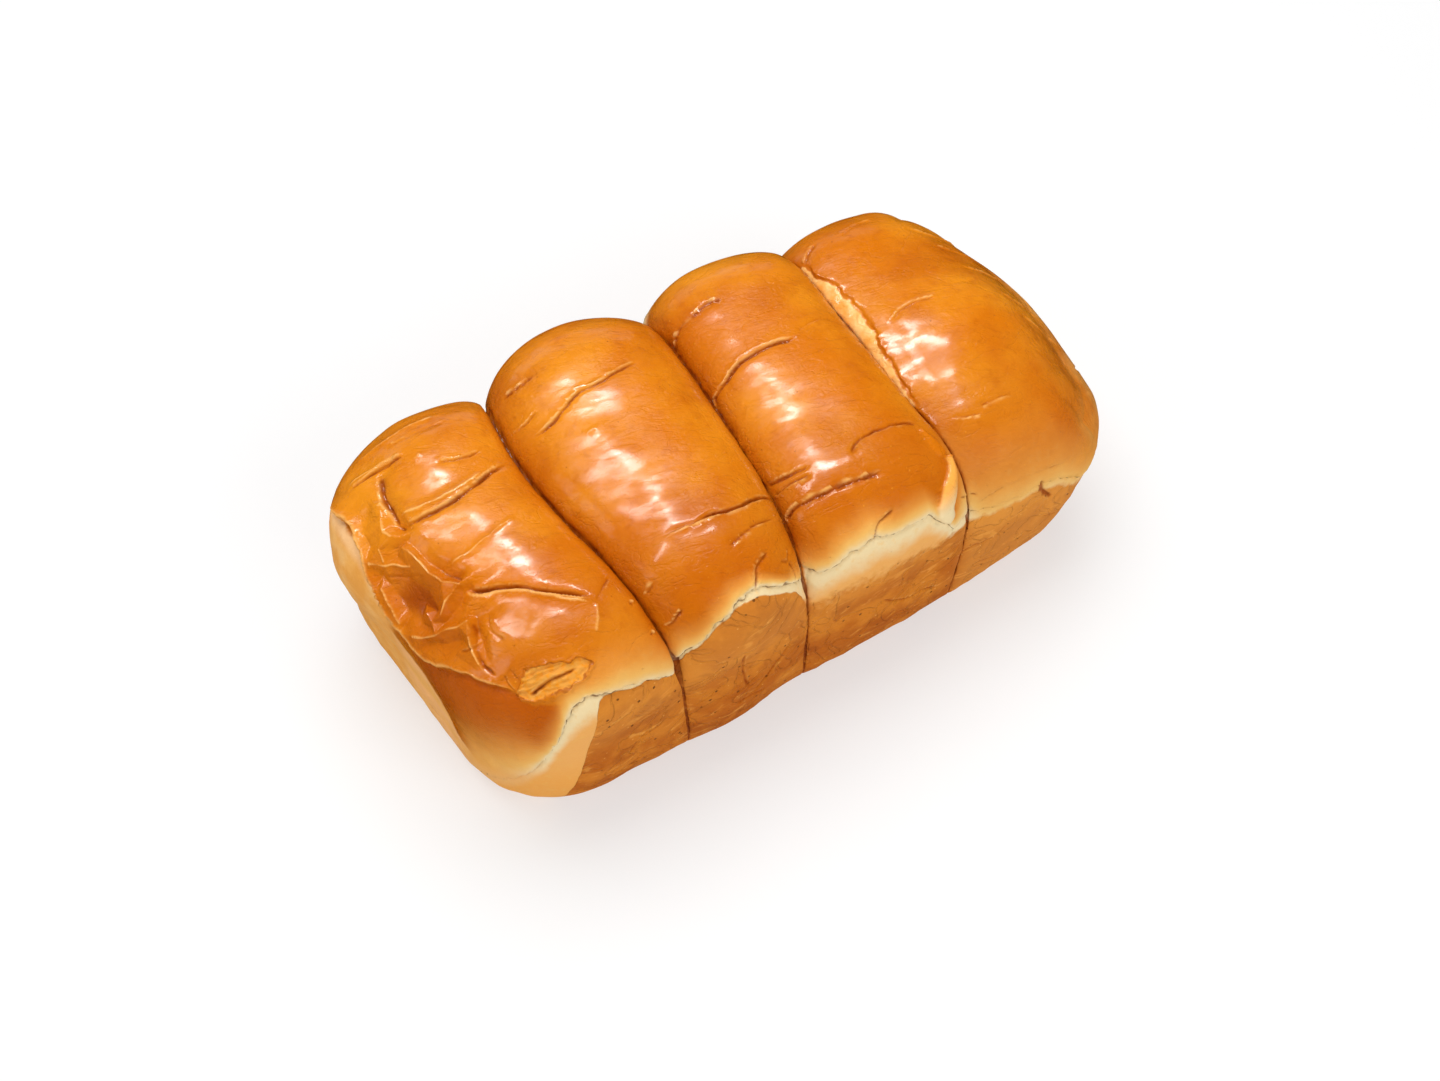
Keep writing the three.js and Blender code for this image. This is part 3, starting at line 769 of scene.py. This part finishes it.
# the ledge: skin standing out above it, a tuck below it
numbers, gap, along = beside_line(point, normal, ledge_line, LEDGE_REACH)
gap = gap + 1.5 * wander(point[numbers], 8.0, 21) + 0.6 * wander(point[numbers], 3.0, 22)
ledge_strength = smoothstep(along, 0.0, 0.12) * mix(1.0, 0.55, smoothstep(along, 0.6, 0.8))
ledge_strength *= smoothstep(along, 1.0, 0.88)
overhang = smoothstep(gap, -0.5, 0.4) * np.exp(-np.clip(gap, 0.0, None) / 5.0)
tuck = hump(gap + 1.4, 1.1)
curled = LEDGE_OUT * overhang + LEDGE_LIP * cusp(gap - 0.8, 0.6) - LEDGE_TUCK * tuck
relief[numbers] += ledge_strength * curled
# painted highlight along the curled edge, and painted shade in the tuck below it
lip[numbers] = np.maximum(lip[numbers], ledge_strength * cusp(gap - 0.6, 0.5))
crease_shade[numbers] = np.maximum(crease_shade[numbers], 0.5 * ledge_strength * hump(gap + 1.1, 0.8))

# the scuffed patch: two leaves of torn skin, the upper one drawn out into lengthwise ridges
numbers, gap, along = beside_line(point, normal, scuff_line, SCUFF_REACH)
near = point[numbers]
leaf = SCUFF_HALF_WIDTH * np.sin(math.pi * along ** 0.85) ** 0.6
edge = leaf - abs(gap) + 1.6 * wander(near, 5.0, 31) + 1.2 * wander(near, 2.0, 32)
scuff = np.full(len(point), FAR_OFF)
scuff[numbers] = edge
open_part = smoothstep(edge, -0.3, 0.5)
lengthwise = np.stack([gap, 5.0 * along, np.zeros(len(gap))], axis=1)
drawn = ridges(lengthwise, 1.5, 33)
drawn *= mix(0.35, 1.0, smoothstep(gap, -0.5, 0.5) * smoothstep(along, 0.8, 0.4))
torn = 1.2 * drawn + 0.45 * wander(near, 2.0, 34) - SCUFF_DEPTH
relief[numbers] += open_part * torn + 0.45 * hump(edge + 0.4, 0.6)

# the shred: the wall is set in a little below the tear
from_tear = point[:, 2] - height_along(point, FRONT_TEAR)
from_tear = from_tear + 0.9 * wander(point, 5.0, 41) + 0.7 * wander(point, 1.8, 42)
front = smoothstep(-normal[:, 1], 0.05, 0.3) * smoothstep(normal[:, 2], 0.95, 0.85)
from_panel = height_along(point, FRONT_PANEL) - point[:, 2]
from_panel = from_panel + 0.9 * wander(point, 6.0, 43)
set_in = smoothstep(from_tear, 0.4, -0.4) * np.exp(-np.clip(-from_tear, 0.0, None) / 8.0)
relief -= WALL_SET_IN * front * set_in
crack_depth = CRACK_DEPTH + 0.6 * wander(point, 2.5, 44)
crack = front * cusp(from_tear + 0.2, 0.45)
relief -= crack_depth * crack

back_tear = point[:, 2] - height_along(point, BACK_TEAR) + 1.2 * wander(point, 5.0, 45)
back = smoothstep(normal[:, 1], 0.05, 0.3) * smoothstep(normal[:, 2], 0.95, 0.85)
set_in = smoothstep(back_tear, 0.6, -0.6) * np.exp(-np.clip(-back_tear, 0.0, None) / 9.0)
relief -= BACK_SET_IN * back * set_in

# the strip and the knob beside the third valley
numbers, gap, along = beside_line(point, normal, strip_line, STRIP_REACH)
near = point[numbers]
gap = gap + 1.3 * wander(near, 6.0, 51) + 0.7 * wander(near, 2.0, 52)
strip = np.full(len(point), FAR_OFF)
strip_end = 40.0 * np.minimum(along, 1.0 - along)
strip[numbers] = np.minimum(np.where(near[:, 0] > 50, -gap, FAR_OFF), strip_end)
strip = np.minimum(strip, 2.0 * beyond_valley + 1.5)  # it ends at the bottom of the valley
raised = smoothstep(along, 0.0, 0.1) * smoothstep(along, 1.0, 0.9)
rim = smoothstep(gap, -0.4, 0.5) * np.exp(-np.clip(gap, 0.0, None) / 4.0)
lumps = smoothstep(-gap, 0.0, 1.0) * (0.5 * wander(near, 3.0, 54) + 0.3 * ridges(near, 4.0, 55))
torn = 0.5 * cusp(gap, 0.6) * wander(near, 4.0, 56)
relief[numbers] += raised * (STRIP_RIM * rim + torn + 0.8 * lumps)


def swelling(line, half_width, sharp_end, seed):
    """A long swelling on a line, widest past its middle: from 1 on top to 0 at its edge."""
    numbers, gap, along = beside_line(point, normal, line, half_width * 1.2)
    width = half_width * mix(sharp_end, 1.0, smoothstep(along, 0.0, 0.6))
    width *= 1.0 + 0.2 * wander(point[numbers], 3.0, seed)
    length = np.clip((along - 0.75) / 0.27, 0.0, 1.0)
    swollen = np.zeros(len(point))
    swollen[numbers] = np.sqrt(np.clip(1.0 - (gap / width) ** 2 - length ** 2, 0.0, 1.0))
    return swollen


knob = swelling(knob_line, KNOB_HALF_WIDTH, 0.25, 57)
flap = swelling(flap_line, FLAP_HALF_WIDTH, 0.35, 58)
relief += KNOB_OUT * knob + FLAP_OUT * flap

point += normal * (relief * above_base)[:, None]
set_points(block, point / 1000.0)
bmesh.ops.recalc_face_normals(block, faces=block.faces[:])
loaf_mesh = bpy.data.meshes.new("loaf_crust")
block.to_mesh(loaf_mesh)
block.free()
loaf_mesh.polygons.foreach_set("use_smooth", [True] * len(loaf_mesh.polygons))
loaf = bpy.data.objects.new("loaf_crust", loaf_mesh)
bpy.context.scene.collection.objects.link(loaf)

# what the crust's material reads, point by point
STRIPE_ACROSS = [-48, -34, -19, -4, 10, 20]  # the gold stripes at the end's foot reach this high here
STRIPE_TOP = [14, 24, 44, 50, 57, 70]
ledge_height = np.interp(point[:, 1], *np.array(sorted(LEDGE)).T)
below_ledge = ledge_height - point[:, 2] + 1.2 * wander(point, 8.0, 61) + 0.5 * wander(point, 2.5, 62)
near_end = smoothstep(-normal[:, 0], 0.15, 0.45) * smoothstep(point[:, 0], -85.0, -100.0)
far_end = smoothstep(normal[:, 0], 0.45, 0.8) * smoothstep(point[:, 2], 66.0, 50.0)
stripe_height = np.interp(point[:, 1], STRIPE_ACROSS, STRIPE_TOP)
above_stripe = point[:, 2] - stripe_height + 2.0 * wander(point, 12.0, 63)
brown_band = near_end * smoothstep(above_stripe, -6.0, 14.0) * smoothstep(below_ledge, -1.0, 0.5)
brown_band *= mix(0.25, 1.0, smoothstep(below_ledge, 34.0, 12.0))
corner = smoothstep(-normal[:, 1], 0.1, 0.6) * smoothstep(-normal[:, 0], 0.1, 0.5)
corner *= smoothstep(point[:, 2], 60.0, 44.0)
golden = near_end * smoothstep(point[:, 1], -8.0, 14.0)
cream_part = point[:, 2] - height_along(point, FRONT_TEAR) + 0.8 * wander(point, 12.0, 64)
cream_part = cream_part / height_along(point, CREAM_RISE) + 0.5 * smoothstep(point[:, 0], 50.0, 60.0)
back_part = back_tear / 7.0

for name, values in {
    "crease_shade": crease_shade,
    "lip": lip,
    "valley": valley,
    "flank_shade": flank_shade,
    "flap": flap,
    "forward": on_crown * smoothstep(-point[:, 1], 8.0, 48.0),
    "stripe": near_end * smoothstep(above_stripe, 3.0, -3.0),
    "height": point[:, 2],
    "from_tear": from_tear,
    "cream_part": cream_part,
    "from_panel": from_panel / height_along(point, PANEL_FADE),
    "front": front,
    "back": back,
    "back_part": back_part,
    "near_end": near_end,
    "far_end": far_end,
    "below_ledge": below_ledge,
    "brown_band": brown_band,
    "golden": golden,
    "crumple_zone": crumple_zone,
    "last_roll": smoothstep(point[:, 0], 48.0, 58.0),
    "corner": corner,
    "scuff": scuff,
    "strip": strip,
    "knob": knob,
}.items():
    attribute = loaf_mesh.attributes.new(name, "FLOAT", "POINT")
    attribute.data.foreach_set("value", values.astype(np.float32))


# ---- The crust: egg wash over browned skin, cream where it tore, duller tan where it met the tin ----
# The crown was brushed with egg and baked to a glossy brown. The torn band stayed cream, and the walls
# came out of the tin a duller, pitted tan. Each zone is one colour laid over the last, with its own
# noise at its edge. Distances that come from the mesh and sizes of noise are in millimetres.

CRUST = (0.64, 0.165, 0.002, 1)
CRUST_DEEP = (0.42, 0.072, 0.001, 1)
CRUST_LIGHT = (0.78, 0.265, 0.010, 1)
CREAM = (0.84, 0.66, 0.37, 1)
CREAM_GOLD = (0.83, 0.47, 0.12, 1)
WALL = (0.50, 0.125, 0.005, 1)
WALL_LIGHT = (0.64, 0.20, 0.013, 1)
WALL_DARK = (0.36, 0.075, 0.003, 1)
GOLD = (0.84, 0.36, 0.06, 1)
GOLD_PALE = (0.90, 0.44, 0.10, 1)
CRUMB = (0.74, 0.32, 0.05, 1)
PIT_AND_CRACK_SHADE = (0.16, 0.05, 0.008, 1)
LIP_HIGHLIGHT = (0.95, 0.50, 0.14, 1)
PEACH = (0.92, 0.46, 0.17, 1)
PEACH_PALE = (0.95, 0.62, 0.33, 1)
STRIP = (0.90, 0.39, 0.065, 1)
STRIP_PALE = (0.96, 0.58, 0.20, 1)
CREASE = (0.30, 0.045, 0.001, 1)
BAND = (0.46, 0.080, 0.001, 1)
VALLEY_SHADE = (0.22, 0.03, 0.001, 1)

material = bpy.data.materials.new("baked_crust")
material.use_nodes = True
nodes = material.node_tree.nodes
links = material.node_tree.links
shader = nodes["Principled BSDF"]


def add_node(kind, inputs, **settings):
    node = nodes.new(kind)
    for name, value in settings.items():
        setattr(node, name, value)
    for key, value in inputs.items():
        if isinstance(value, bpy.types.NodeSocket):
            links.new(value, node.inputs[key])
        else:
            node.inputs[key].default_value = value
    return node


def read(name):
    return add_node("ShaderNodeAttribute", {}, attribute_name=name).outputs["Fac"]


def maths(operation, a, b=0.0, c=0.0):
    return add_node("ShaderNodeMath", {0: a, 1: b, 2: c}, operation=operation).outputs[0]


def times(a, b):
    return maths("MULTIPLY", a, b)


def plus(a, b):
    return maths("ADD", a, b)


def ramp(value, start, end, low=0.0, high=1.0):
    inputs = {"Value": value, "From Min": start, "From Max": end, "To Min": low, "To Max": high}
    return add_node("ShaderNodeMapRange", inputs, interpolation_type="SMOOTHSTEP").outputs[0]


def lay(share, under, over):
    """One colour laid over another."""
    return add_node("ShaderNodeMix", {0: share, 6: under, 7: over}, data_type="RGBA").outputs[2]


def tint(under, over, share, amount):
    """A colour with a share of another laid over it."""
    return lay(times(share, amount), under, over)


in_millimetres = add_node("ShaderNodeVectorMath", {3: 1000.0}, operation="SCALE")
links.new(add_node("ShaderNodeTexCoord", {}).outputs["Object"], in_millimetres.inputs[0])
place = in_millimetres.outputs[0]


def moved(vector, stretch, shift):
    inputs = {"Vector": vector, "Location": (shift, shift, shift), "Scale": stretch}
    return add_node("ShaderNodeMapping", inputs).outputs[0]


def cloud(size, detail=2.0, seed=0.0, stretch=(1, 1, 1), distortion=0.0, source=place):
    """Noise from 0 to 1 with clouds about one size across."""
    inputs = {
        "Vector": moved(source, stretch, seed * 31.0),
        "Scale": 0.6 / size,
        "Detail": detail,
        "Roughness": 0.55,
        "Distortion": distortion,
    }
    return add_node("ShaderNodeTexNoise", inputs).outputs["Fac"]


def unevenness(amount, size, detail, seed):
    """Noise from minus to plus an amount."""
    return maths("MULTIPLY_ADD", cloud(size, detail, seed), 2.0 * amount, -amount)


def patches(size, detail, seed, start, end):
    """Noise in soft patches, from 0 up to its start to 1 from its end."""
    return ramp(cloud(size, detail, seed), start, end)


def dots(spacing, radius, seed):
    """1 in small round dots, fading out at their radius."""
    inputs = {"Vector": moved(place, (1, 1, 1), seed * 17.0), "Scale": 1.0 / spacing, "Randomness": 1.0}
    distance = add_node("ShaderNodeTexVoronoi", inputs).outputs["Distance"]
    return ramp(distance, radius / spacing, 0.4 * radius / spacing)


# the egg-washed crust, mottled and flecked and darker towards the front, with painted shade on each roll's
# flank beside the valleys
colour = lay(patches(24, 3, 1, 0.35, 0.7), CRUST, CRUST_LIGHT)
colour = tint(colour, CRUST_DEEP, patches(13, 4, 2, 0.48, 0.72), 0.35)
colour = tint(colour, CRUST_DEEP, patches(2.2, 3, 3, 0.5, 0.75), 0.25)
colour = tint(colour, CRUST_LIGHT, patches(1.2, 2, 4, 0.55, 0.8), 0.25)
colour = tint(colour, CRUST_DEEP, read("forward"), 0.45)
colour = tint(colour, CRUST_DEEP, read("flank_shade"), 0.55)
colour = tint(colour, CRUST_LIGHT, dots(5.0, 0.45, 5), 0.5)
# painted shade in the crust's tiny pits, which the bump also dents
colour = tint(colour, WALL_DARK, dots(6.0, 0.35, 6), 0.6)
colour = tint(colour, CRUST_DEEP, read("crumple_zone"), 0.55)
colour = tint(colour, GOLD, read("corner"), 0.75)
colour = tint(colour, BAND, read("brown_band"), 0.85)

# the near end: golden skin below the ledge, and stripes of gold and peach along its foot
golden = lay(patches(6, 4, 7, 0.4, 0.65), GOLD, GOLD_PALE)
golden = tint(golden, CREAM, patches(9, 4, 27, 0.5, 0.7), 0.2)
stripes = lay(ramp(cloud(7, 4, 8, (1, 0.25, 1)), 0.35, 0.6), GOLD_PALE, PEACH)
stripes = tint(stripes, WALL_LIGHT, ramp(cloud(5, 4, 28, (1, 0.2, 1)), 0.55, 0.7), 0.4)
below = ramp(read("below_ledge"), 0.0, 0.8)
golden_edge = unevenness(0.4, 8, 4, 26)
stripe_part = times(ramp(plus(read("stripe"), golden_edge), 0.3, 0.8), below)
colour = lay(times(stripe_part, read("near_end")), colour, stripes)
golden_part = times(ramp(plus(read("golden"), golden_edge), 0.25, 0.75), below)
golden_part = times(golden_part, read("near_end"))
colour = lay(golden_part, colour, golden)
under_ledge = times(times(ramp(read("below_ledge"), 5.5, 1.0), below), read("golden"))
colour = tint(colour, PEACH_PALE, under_ledge, 0.65)
far_part = times(read("far_end"), patches(9, 4, 9, 0.25, 0.65))
colour = tint(colour, golden, far_part, 0.8)

# the shred: cream above the tear, fading up into the crust and down into gold
uneven = unevenness(0.3, 9, 3, 10)
fade = plus(read("cream_part"), uneven)
cream = lay(ramp(fade, -0.1, 0.6), CREAM, CREAM_GOLD)
cream = lay(ramp(fade, 0.4, 1.2), cream, GOLD)
lower = plus(read("from_tear"), unevenness(4.0, 6, 4, 29))
cream = tint(cream, GOLD, ramp(lower, -3.0, -11.0), 0.85)
cream = tint(cream, GOLD, ramp(read("height"), 46.0, 22.0), 0.75)
cream = tint(cream, CREAM_GOLD, patches(1.6, 3, 30, 0.5, 0.75), 0.35)
cream_share = times(ramp(fade, 2.1, 0.3), read("front"))
colour = lay(cream_share, colour, cream)
back_fade = plus(read("back_part"), uneven)
colour = lay(times(ramp(back_fade, 1.3, 0.3), read("back")), colour, cream)

# the wall that stood in the tin
tan = lay(patches(9, 4, 11, 0.4, 0.65), WALL, WALL_LIGHT)
tan = tint(tan, WALL_DARK, ramp(cloud(7, 3, 12, (1, 1, 1.3), 0.6), 0.48, 0.7), 0.6)
tan = tint(tan, GOLD, ramp(cloud(4, 4, 31, (0.6, 1, 1.4), 1.2), 0.56, 0.7), 0.5)
tan = tint(tan, WALL_DARK, patches(1.0, 3, 13, 0.55, 0.75), 0.25)
tan = tint(tan, GOLD, ramp(read("height"), 34.0, 58.0), 0.3)
tan = tint(tan, GOLD, read("last_roll"), 0.4)
tan = tint(tan, GOLD_PALE, dots(3.5, 0.4, 14), 0.6)
# painted shade in the wall's pits, which the grain's bump also dents
tan = tint(tan, PIT_AND_CRACK_SHADE, dots(4.6, 0.6, 15), 0.85)
panel = plus(read("from_panel"), unevenness(0.8, 1.5, 4, 16))
panel_share = times(ramp(panel, 0.0, 1.0), read("front"))
colour = lay(panel_share, colour, tan)
back_share = times(ramp(back_fade, 0.1, -0.15), read("back"))
colour = lay(back_share, colour, tan)

# the ragged strip and knob beside the third valley
ragged = plus(read("strip"), unevenness(0.8, 1.4, 3, 17))
strip_share = ramp(ragged, 0.6, 1.3)
# the strip's rim is paler skin, with painted highlight in patches along it
pale_rim_and_highlight = times(ramp(ragged, 3.0, 1.2), patches(3, 3, 18, 0.4, 0.6))
strip_skin = lay(patches(4, 3, 35, 0.35, 0.65), STRIP, STRIP_PALE)
colour = lay(strip_share, colour, lay(pale_rim_and_highlight, strip_skin, STRIP_PALE))
knob_skin = lay(ramp(read("height"), 70.0, 77.0), CREAM, STRIP)
colour = lay(ramp(read("knob"), 0.1, 0.6), colour, knob_skin)
colour = tint(colour, CRUST, ramp(read("flap"), 0.05, 0.4), 0.8)

# the scuffed patch, down to the crumb
scuff_share = ramp(read("scuff"), -0.3, 0.3)
scuff_skin = lay(patches(1.2, 3, 19, 0.4, 0.7), CRUMB, CRUST_LIGHT)
colour = lay(scuff_share, colour, scuff_skin)
scuff_border = ramp(maths("ABSOLUTE", read("scuff")), 0.4, 0.1)
colour = lay(times(scuff_border, ramp(cloud(2.0, 3, 37), 0.45, 0.6, 0.0, 0.6)), colour, CREASE)

# painted shade darkens the creases and valleys, painted highlight makes the lips paler, and a painted shadow
# shows the crack as a thin grey-brown line
colour = tint(colour, LIP_HIGHLIGHT, ramp(read("lip"), 0.12, 0.6), 0.65)
colour = tint(colour, CREASE, ramp(read("crease_shade"), 0.15, 0.8), 0.8)
colour = tint(colour, VALLEY_SHADE, ramp(read("valley"), 0.35, 0.9), 0.8)
crack_line = maths("ABSOLUTE", plus(read("from_tear"), 0.25))
crack_share = times(ramp(crack_line, 0.4, 0.1), patches(1.6, 3, 20, 0.35, 0.6))
crack_share = times(crack_share, read("front"))
colour = tint(colour, PIT_AND_CRACK_SHADE, crack_share, 0.75)
links.new(colour, shader.inputs["Base Color"])

# gloss: egg wash on the crown, satin where it met the tin, dull where it tore
dull = maths("MAXIMUM", maths("MAXIMUM", cream_share, panel_share), maths("MAXIMUM", scuff_share, back_share))
dull = maths("MAXIMUM", dull, times(maths("MAXIMUM", golden_part, stripe_part), 0.8))
gloss = maths("SUBTRACT", 1.0, dull)
roughness = ramp(cloud(4, 4, 21), 0.3, 0.7, 0.24, 0.34)
roughness = add_node("ShaderNodeMix", {0: dull, 2: roughness, 3: 0.65}, data_type="FLOAT").outputs[0]
links.new(roughness, shader.inputs["Roughness"])
askew = add_node("ShaderNodeMapping", {"Vector": place, "Rotation": (0.0, 0.0, 0.3)}).outputs[0]
streaks = cloud(1.9, 3, 36, (0.35, 1, 1), 0.5, askew)
coat = times(gloss, maths("MULTIPLY_ADD", read("brown_band"), -0.5, 0.68))
coat = times(coat, ramp(streaks, 0.40, 0.58, 0.28, 1.0))
coat = times(coat, ramp(cloud(7, 4, 38), 0.36, 0.58, 0.55, 1.0))
links.new(coat, shader.inputs["Coat Weight"])
shader.inputs["Coat Roughness"].default_value = 0.14
shader.inputs["Coat IOR"].default_value = 1.5
shader.inputs["Specular IOR Level"].default_value = 0.1

# fine relief: shallow dimples, a net of tiny wrinkles in the glaze, and pores
fine_wrinkle = maths("ABSOLUTE", maths("SUBTRACT", cloud(2.0, 3, 22, (0.4, 1, 1), 0.8, askew), 0.5))
broad_wrinkle = maths("ABSOLUTE", maths("SUBTRACT", cloud(5.0, 3, 33, (0.5, 1, 1), 0.6, askew), 0.5))
glaze = times(streaks, 0.18)
glaze = plus(glaze, times(ramp(fine_wrinkle, 0.0, 0.10), 0.05))
glaze = plus(glaze, times(ramp(broad_wrinkle, 0.0, 0.04), 0.10))
glaze = plus(glaze, times(dots(5.0, 0.45, 5), 0.12))
leather = maths("ABSOLUTE", maths("SUBTRACT", cloud(9.0, 2, 34, (1, 1, 1), 1.0), 0.5))
grain = times(ramp(leather, 0.0, 0.03), 0.28)
grain = maths("SUBTRACT", grain, times(dots(4.6, 0.6, 15), 0.5))
height = plus(times(cloud(6, 2, 23), 0.15), times(cloud(0.9, 3, 24), 0.2))
height = maths("SUBTRACT", height, times(dots(6.0, 0.35, 6), 0.12))
height = plus(height, times(glaze, gloss))
height = plus(height, times(grain, maths("MAXIMUM", panel_share, back_share)))
bump = add_node("ShaderNodeBump", {"Strength": 1.0, "Distance": 0.001, "Height": height})
links.new(bump.outputs["Normal"], shader.inputs["Normal"])
loaf_mesh.materials.append(material)

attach(loaf, "root")
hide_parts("loaf")


# ---- The table: a plain white sheet under the loaf ----
# A sheet of matt white paper, far wider than the loaf, that glows a little so that it stays pale
# where the panels don't reach it.

TABLE_HALF = 3.0  # metres

table_shape = bmesh.new()
bmesh.ops.create_grid(table_shape, x_segments=1, y_segments=1, size=TABLE_HALF)
table_mesh = bpy.data.meshes.new("table")
table_shape.to_mesh(table_mesh)
table_shape.free()
table = bpy.data.objects.new("table", table_mesh)
bpy.context.scene.collection.objects.link(table)
paper = bpy.data.materials.new("white_paper")
paper.use_nodes = True
paper_shader = paper.node_tree.nodes["Principled BSDF"]
paper_shader.inputs["Base Color"].default_value = (0.4, 0.4, 0.4, 1)
paper_shader.inputs["Roughness"].default_value = 0.9
paper_shader.inputs["Emission Color"].default_value = (1, 1, 1, 1)
paper_shader.inputs["Emission Strength"].default_value = 0.52
table_mesh.materials.append(paper)
table.visible_glossy = False


# ---- The studio: a white room, soft panels all round, and the camera ----
# Three broad panels light the skin's colour. Four smaller ones only show in its gloss: two narrow
# strips behind the loaf make the bright patches on the rolls, and two others soften what is round them.
# Sizes and places are metres, powers are watts.

AIM = Vector((-0.0135, -0.0164, 0.040))
CAMERA_TURN = math.radians(32.95)
CAMERA_TILT = math.radians(57.2)
CAMERA_DISTANCE = 0.660

back = Vector((
    -math.sin(CAMERA_TURN) * math.cos(CAMERA_TILT),
    -math.cos(CAMERA_TURN) * math.cos(CAMERA_TILT),
    math.sin(CAMERA_TILT),
))
camera_data = bpy.data.cameras.new("camera")
camera_data.lens = 50.0
camera_data.sensor_width = 36.0
camera = bpy.data.objects.new("camera", camera_data)
camera.location = AIM + back * CAMERA_DISTANCE
camera.rotation_euler = (-back).to_track_quat("-Z", "Y").to_euler()
bpy.context.scene.collection.objects.link(camera)
bpy.context.scene.camera = camera


def add_softbox(name, place, aim, size_x, size_y, power, lights="diffuse", turn=0.0):
    """A soft panel that aims at a place. It lights the skin's colour or only shows in its gloss."""
    light = bpy.data.lights.new(name, "AREA")
    light.shape = "RECTANGLE"
    light.size = size_x
    light.size_y = size_y
    light.energy = power
    softbox = bpy.data.objects.new(name, light)
    softbox.location = place
    aimed = (Vector(aim) - Vector(place)).to_track_quat("-Z", "Y")
    softbox.rotation_euler = (aimed @ Quaternion((0, 0, 1), math.radians(turn))).to_euler()
    softbox.visible_diffuse = lights == "diffuse"
    softbox.visible_glossy = lights == "gloss"
    bpy.context.scene.collection.objects.link(softbox)


add_softbox("overhead_panel", (0.05, 0.40, 1.2), (0, 0, 0.05), 1.2, 0.9, 13.8)
add_softbox("front_fill", (0.20, -1.1, 0.8), (0, 0, 0.05), 0.9, 0.9, 8.0)
add_softbox("left_fill", (-1.2, -0.1, 0.5), (-0.1, 0, 0.04), 0.6, 0.6, 3.2)
add_softbox("key_gloss", (0.22, 0.41, 1.0), (0, 0, 0.08), 0.34, 0.08, 4.0, "gloss", -12.0)
add_softbox("strip_gloss", (-0.25, 0.45, 1.0), (0, 0, 0.08), 0.80, 0.07, 3.5, "gloss", -12.0)
add_softbox("left_gloss", (-0.95, 0.30, 0.75), (0, 0, 0.05), 0.4, 0.4, 1.0, "gloss")
add_softbox("back_gloss", (0.3, 1.3, 0.45), (0, 0, 0.05), 1.6, 0.5, 2.2, "gloss")

world = bpy.data.worlds.new("white_room")
world.use_nodes = True
world.node_tree.nodes["Background"].inputs["Color"].default_value = (1, 1, 1, 1)
world.node_tree.nodes["Background"].inputs["Strength"].default_value = 0.32
world.cycles_visibility.glossy = False
bpy.context.scene.world = world
bpy.context.scene.view_settings.view_transform = "Standard"
